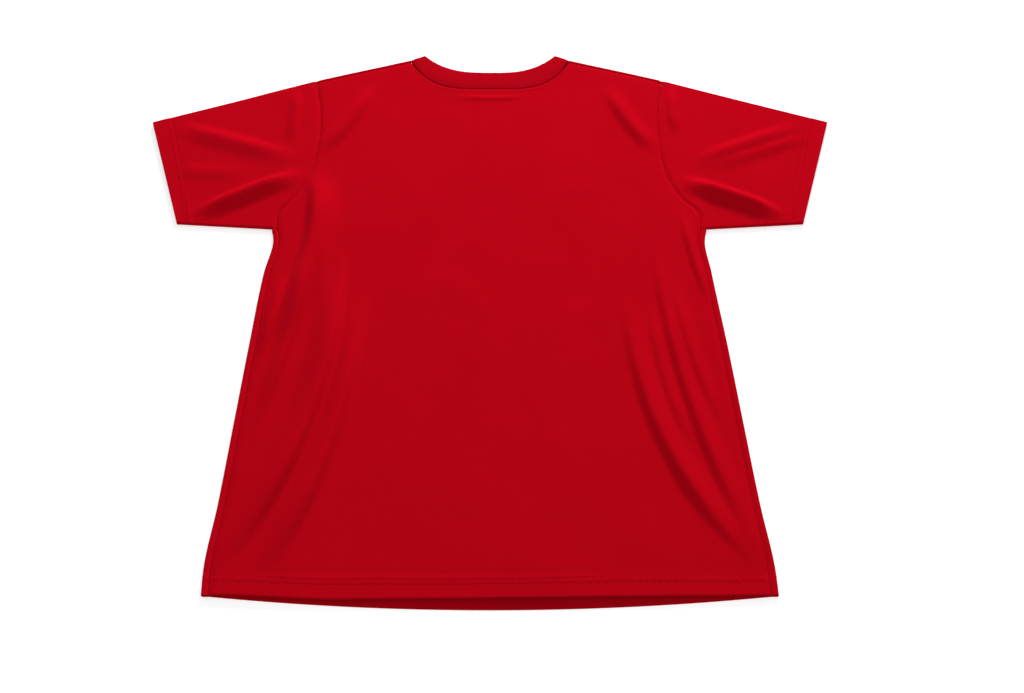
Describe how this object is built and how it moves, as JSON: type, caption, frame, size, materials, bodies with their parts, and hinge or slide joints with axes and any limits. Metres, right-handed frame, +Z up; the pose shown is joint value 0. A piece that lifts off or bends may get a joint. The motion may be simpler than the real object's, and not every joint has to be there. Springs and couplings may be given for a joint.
{
  "type": "softball t-shirt",
  "caption": "Plain short-sleeved crew-neck t-shirt laid flat on its front, back side up, with a neckband, set-in sleeves and turned-up hems.",
  "frame": {"origin": "middle of the shirt's outline, on the surface that it lies on", "axes": "+X across the shoulders, +Y from the hem to the neck, +Z up from the surface through both layers"},
  "size_m": [0.8664, 0.7663, 0.015],
  "materials": {
    "jersey": "smooth polyester knit with a soft sheen",
    "neckband": "fine ribbed knit"
  },
  "bodies": {
    "root": {"back": "jersey", "front": "jersey", "sleeve_left": "jersey", "sleeve_right": "jersey", "neckband": "neckband"}
  },
  "joints": []
}
